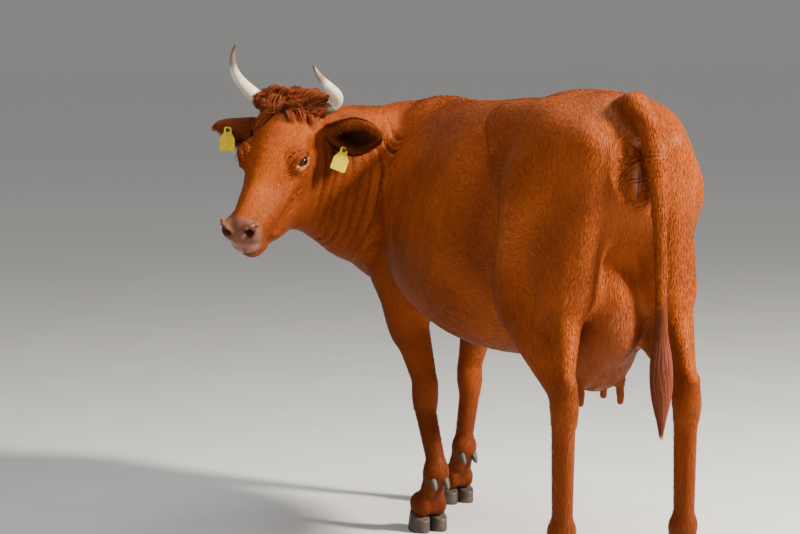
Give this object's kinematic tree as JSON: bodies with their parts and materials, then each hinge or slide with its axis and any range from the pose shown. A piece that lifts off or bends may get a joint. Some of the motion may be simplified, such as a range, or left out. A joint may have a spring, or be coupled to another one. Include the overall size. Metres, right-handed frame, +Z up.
{
  "type": "cow, standing, life size",
  "caption": "Horned red-brown cow standing with its head turned back over its left side, a still life-size model with a short coat, ear tags and a full udder.",
  "frame": {"origin": "middle of the footprint's bounding box, at floor level", "axes": "+Z up, -Y towards the cow's front, +X its left side"},
  "size_m": [1.108, 1.6818, 1.44],
  "materials": {
    "coat": "short smooth hair, chestnut red, darker on the ears and lower legs",
    "tail_hair": "long coarse hair",
    "udder_skin": "thin bare skin with sparse hair",
    "horn": "horn: pale and slightly glossy, dark at the tip",
    "hoof": "hoof horn, matte and dusty",
    "eye": "wet and glossy",
    "tag": "satin moulded plastic, no marking"
  },
  "bodies": {
    "root": {"claw_front_left_inner": "hoof", "claw_front_left_outer": "hoof", "claw_front_right_inner": "hoof", "claw_front_right_outer": "hoof", "claw_hind_left_inner": "hoof", "claw_hind_left_outer": "hoof", "claw_hind_right_inner": "hoof", "claw_hind_right_outer": "hoof", "dewclaw_front_left_inner": "hoof", "dewclaw_front_left_outer": "hoof", "dewclaw_front_right_inner": "hoof", "dewclaw_front_right_outer": "hoof", "dewclaw_hind_left_inner": "hoof", "dewclaw_hind_left_outer": "hoof", "dewclaw_hind_right_inner": "hoof", "dewclaw_hind_right_outer": "hoof", "ear_left": "coat", "ear_right": "coat", "eye_left": "eye", "eye_right": "eye", "head": "coat", "horn_left": "horn", "horn_right": "horn", "leg_front_left": "coat", "leg_front_right": "coat", "leg_hind_left": "coat", "leg_hind_right": "coat", "neck": "coat", "tag_left": "tag", "tag_right": "tag", "tag_stud_left": "tag", "tag_stud_right": "tag", "tail": "coat", "tail_switch": "tail_hair", "trunk": "coat", "udder": "udder_skin"}
  },
  "joints": []
}
